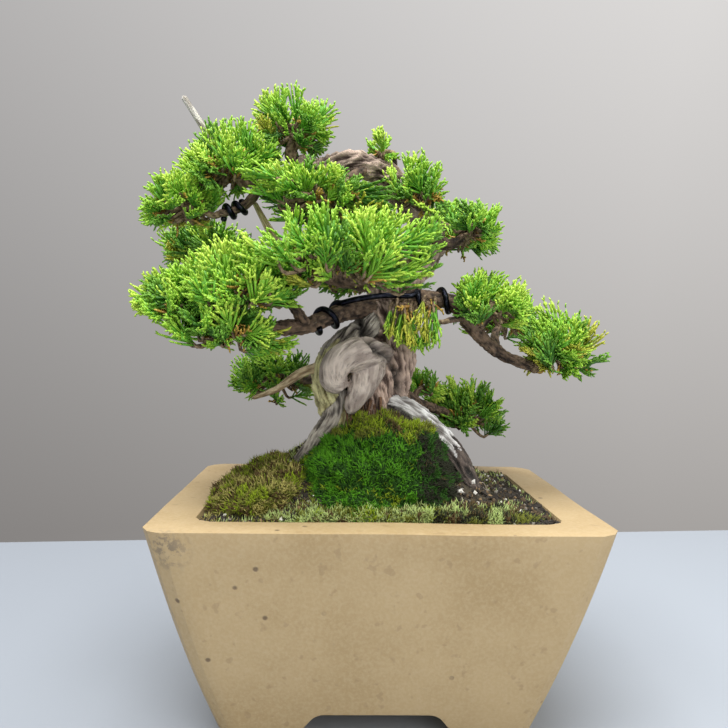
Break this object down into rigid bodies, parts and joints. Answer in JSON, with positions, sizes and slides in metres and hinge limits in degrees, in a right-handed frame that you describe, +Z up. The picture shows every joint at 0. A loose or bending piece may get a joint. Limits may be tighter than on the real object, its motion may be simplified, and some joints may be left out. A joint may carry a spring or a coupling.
{
  "type": "shimpaku juniper bonsai in a clay pot",
  "caption": "Small informal upright juniper with a bent trunk, dead wood, wired boughs and pads of scale foliage, on a mossy mound in a tapering rectangular clay pot.",
  "frame": {"origin": "on the ground, under the middle of the whole plant's box", "axes": "+Z up, -Y towards the front that the picture shows, +X to that view's right"},
  "size_m": [0.1798, 0.1238, 0.2305],
  "materials": {
    "clay": "matte",
    "soil": "matte",
    "moss": "matte",
    "olive_moss": "matte",
    "bark": "matte",
    "deadwood": "matte",
    "foliage": "satin",
    "wire": "satin"
  },
  "bodies": {
    "root": {"pot": "clay", "soil": "soil", "trunk": "bark", "moss_front": "moss", "moss_left": "olive_moss", "moss_edge": "olive_moss", "bough_left": "bark", "bough_left_side": "bark", "bough_left_low": "bark", "bough_front": "bark", "bough_back_left": "bark", "bough_low_left": "bark", "bough_low_right": "bark", "bough_low_right_side": "bark", "bough_right": "bark", "bough_right_side": "bark", "bough_hanging": "bark", "bough_back_right_low": "bark", "bough_upper_right": "bark", "bough_back_right": "bark", "bough_right_top": "bark", "bough_top_right": "bark", "bough_upper_front": "bark", "bough_back_upper": "bark", "bough_back": "bark", "bough_upper_left": "bark", "bough_left_tip": "bark", "jin_top_left": "deadwood", "jin_left": "deadwood", "jin_low_left": "deadwood", "jin_top_right": "deadwood", "wire_lower_boughs": "wire", "wire_trunk": "wire", "wire_left_tip": "wire", "foliage_apex": "foliage", "foliage_upper_left": "foliage", "foliage_left_tip": "foliage", "foliage_upper_front": "foliage", "foliage_top_right": "foliage", "foliage_right_top": "foliage", "foliage_upper_right": "foliage", "foliage_front": "foliage", "foliage_front_left": "foliage", "foliage_left": "foliage", "foliage_left_low": "foliage", "foliage_back_left": "foliage", "foliage_hanging": "foliage", "foliage_right": "foliage", "foliage_right_tip": "foliage", "foliage_back_right_low": "foliage", "foliage_low_right": "foliage", "foliage_low_right_side": "foliage", "foliage_low_left": "foliage", "foliage_back": "foliage", "foliage_back_upper": "foliage", "foliage_back_right": "foliage"}
  },
  "joints": []
}
